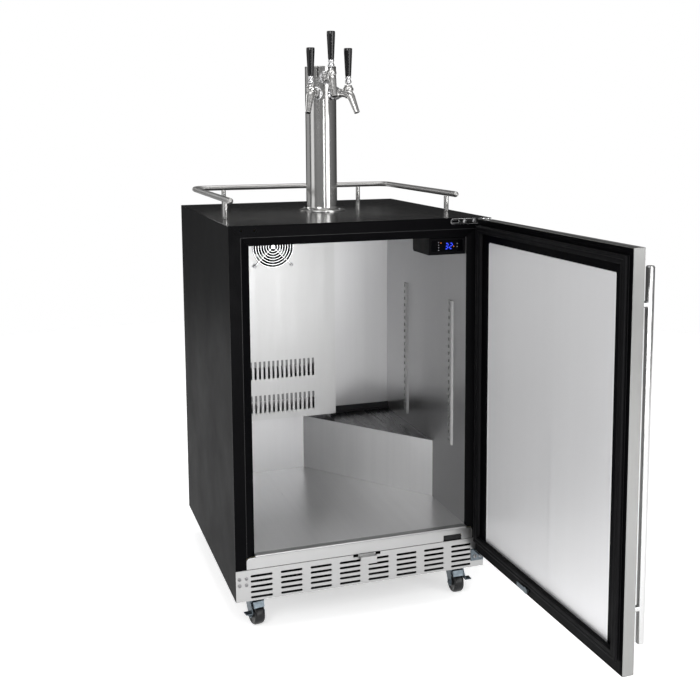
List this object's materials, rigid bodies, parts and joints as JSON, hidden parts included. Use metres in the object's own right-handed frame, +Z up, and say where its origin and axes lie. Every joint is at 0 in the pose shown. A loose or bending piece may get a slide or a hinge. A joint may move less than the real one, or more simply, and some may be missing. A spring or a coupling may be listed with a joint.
{
  "type": "kegerator",
  "caption": "Undercounter draft beer cooler with an open hinged door, keg bay, beer tower with lever faucets, guard rail, toe grille and casters.",
  "frame": {"origin": "on the floor, under the middle of the cabinet's footprint, door and tower left out", "axes": "+Z up, -Y out of the front opening, +X to the right seen from the front, where the door is hinged"},
  "size_m": [0.6516, 1.245, 1.3418],
  "materials": {
    "black_panel": "textured satin black powder coat",
    "black_frame": "satin black moulded breaker frame",
    "liner_steel": "fine brushed stainless",
    "front_steel": "brushed stainless front trim",
    "door_steel": "brushed stainless door skin",
    "door_liner": "smooth satin stainless sheet",
    "tower_steel": "brushed stainless tower tube",
    "chrome": "polished",
    "rail_steel": "satin tube",
    "tap_black": "gloss black moulded handle",
    "gasket_rubber": "soft matt black seal",
    "foam": "rigid polyurethane foam",
    "aluminium_fins": "thin rolled fins",
    "black_plastic": "satin moulded plastic",
    "display_plastic": "dark housing with a recessed glossy window",
    "zinc": "zinc plated pressed steel",
    "tyre_rubber": "hard black tread",
    "black_enamel": "gloss black enamel"
  },
  "bodies": {
    "cabinet": {"side_panels": "black_panel", "top_panel": "black_panel", "rear_panel": "black_panel", "base_pan": "black_panel", "cabinet_foam": "foam", "liner_walls": "liner_steel", "liner_ceiling": "liner_steel", "liner_floor": "liner_steel", "front_frame": "black_frame", "sill_strip": "front_steel", "lower_panel": "front_steel", "toe_grille": "front_steel", "compressor_cover": "liner_steel", "evaporator_cover": "liner_steel", "evaporator_coil": "aluminium_fins", "fan_guard": "chrome", "evaporator_fan_frame": "black_plastic", "controller_housing": "display_plastic", "shelf_standards": "liner_steel", "compressor": "black_enamel", "condenser": "black_enamel", "lock_strike": "front_steel", "top_hinge": "chrome", "bottom_hinge": "zinc", "cover_screws": "chrome", "guard_rail": "rail_steel", "rail_posts": "chrome", "tower_column": "tower_steel", "tower_cap": "chrome", "faucet_shanks": "chrome", "faucet_bodies": "chrome", "door_sensor": "black_plastic", "power_gland": "black_plastic", "caster_plates": "zinc"},
    "door": {"door_skin": "door_steel", "door_frame": "black_frame", "door_inner_panel": "door_liner", "door_gasket": "gasket_rubber", "door_foam": "foam", "door_handle": "rail_steel", "lock_barrel": "chrome"},
    "door_lock": {"lock_cam": "zinc"},
    "evaporator_rotor": {"evaporator_fan": "black_plastic"},
    "condenser_rotor": {"condenser_fan": "black_plastic"},
    "tap_lever_left": {"lever_left": "chrome", "tap_handle_left": "tap_black"},
    "tap_lever_centre": {"lever_centre": "chrome", "tap_handle_centre": "tap_black"},
    "tap_lever_right": {"lever_right": "chrome", "tap_handle_right": "tap_black"},
    "swivel_fl": {"caster_fork_fl": "zinc"},
    "wheel_fl": {"caster_wheel_fl": "tyre_rubber"},
    "swivel_fr": {"caster_fork_fr": "zinc"},
    "wheel_fr": {"caster_wheel_fr": "tyre_rubber"},
    "swivel_rl": {"caster_fork_rl": "zinc"},
    "wheel_rl": {"caster_wheel_rl": "tyre_rubber"},
    "swivel_rr": {"caster_fork_rr": "zinc"},
    "wheel_rr": {"caster_wheel_rr": "tyre_rubber"},
    "brake_fl": {"caster_brake_fl": "zinc"},
    "brake_fr": {"caster_brake_fr": "zinc"}
  },
  "joints": [
    {"name": "door_hinge", "type": "hinge", "parent": "cabinet", "child": "door", "pos_m": [0.2865, -0.3355, 0.5], "axis": [0, 0, 1], "range_deg": [-91, 24]},
    {"name": "door_lock_turn", "type": "hinge", "parent": "door", "child": "door_lock", "pos_m": [0.27216, -0.57429, 0.136], "axis": [-0.9998, -0.0175, 0], "range_deg": [0, 180]},
    {"name": "tap_left", "type": "hinge", "parent": "cabinet", "child": "tap_lever_left", "pos_m": [-0.04663, -0.07463, 1.207], "axis": [0.848, -0.5299, 0], "range_deg": [0, 20]},
    {"name": "tap_centre", "type": "hinge", "parent": "cabinet", "child": "tap_lever_centre", "pos_m": [0, -0.088, 1.245], "axis": [1, 0, 0], "range_deg": [0, 20]},
    {"name": "tap_right", "type": "hinge", "parent": "cabinet", "child": "tap_lever_right", "pos_m": [0.04663, -0.07463, 1.207], "axis": [0.848, 0.5299, 0], "range_deg": [0, 20]},
    {"name": "evaporator_fan_spin", "type": "hinge", "parent": "cabinet", "child": "evaporator_rotor", "pos_m": [-0.085, 0.17, 0.806], "axis": [0, 1, 0], "continuous": true},
    {"name": "condenser_fan_spin", "type": "hinge", "parent": "cabinet", "child": "condenser_rotor", "pos_m": [-0.12, -0.186, 0.112], "axis": [0, 1, 0], "continuous": true},
    {"name": "caster_swivel_fl", "type": "hinge", "parent": "cabinet", "child": "swivel_fl", "pos_m": [-0.248, -0.248, 0.06], "axis": [0, 0, 1], "continuous": true},
    {"name": "wheel_spin_fl", "type": "hinge", "parent": "swivel_fl", "child": "wheel_fl", "pos_m": [-0.24487, -0.26573, 0.025], "axis": [0.9848, 0.1736, 0], "continuous": true},
    {"name": "caster_swivel_fr", "type": "hinge", "parent": "cabinet", "child": "swivel_fr", "pos_m": [0.248, -0.248, 0.06], "axis": [0, 0, 1], "continuous": true},
    {"name": "wheel_spin_fr", "type": "hinge", "parent": "swivel_fr", "child": "wheel_fr", "pos_m": [0.248, -0.266, 0.025], "axis": [1, 0, 0], "continuous": true},
    {"name": "caster_swivel_rl", "type": "hinge", "parent": "cabinet", "child": "swivel_rl", "pos_m": [-0.248, 0.248, 0.06], "axis": [0, 0, 1], "continuous": true},
    {"name": "wheel_spin_rl", "type": "hinge", "parent": "swivel_rl", "child": "wheel_rl", "pos_m": [-0.24487, 0.26573, 0.025], "axis": [-0.9848, 0.1736, 0], "continuous": true},
    {"name": "caster_swivel_rr", "type": "hinge", "parent": "cabinet", "child": "swivel_rr", "pos_m": [0.248, 0.248, 0.06], "axis": [0, 0, 1], "continuous": true},
    {"name": "wheel_spin_rr", "type": "hinge", "parent": "swivel_rr", "child": "wheel_rr", "pos_m": [0.257, 0.26359, 0.025], "axis": [-0.866, 0.5, 0], "continuous": true},
    {"name": "caster_brake_fl", "type": "hinge", "parent": "swivel_fl", "child": "brake_fl", "pos_m": [-0.24453, -0.2677, 0.057], "axis": [-0.9848, -0.1736, 0], "range_deg": [0, 18]},
    {"name": "caster_brake_fr", "type": "hinge", "parent": "swivel_fr", "child": "brake_fr", "pos_m": [0.248, -0.268, 0.057], "axis": [-1, 0, 0], "range_deg": [0, 18]}
  ]
}
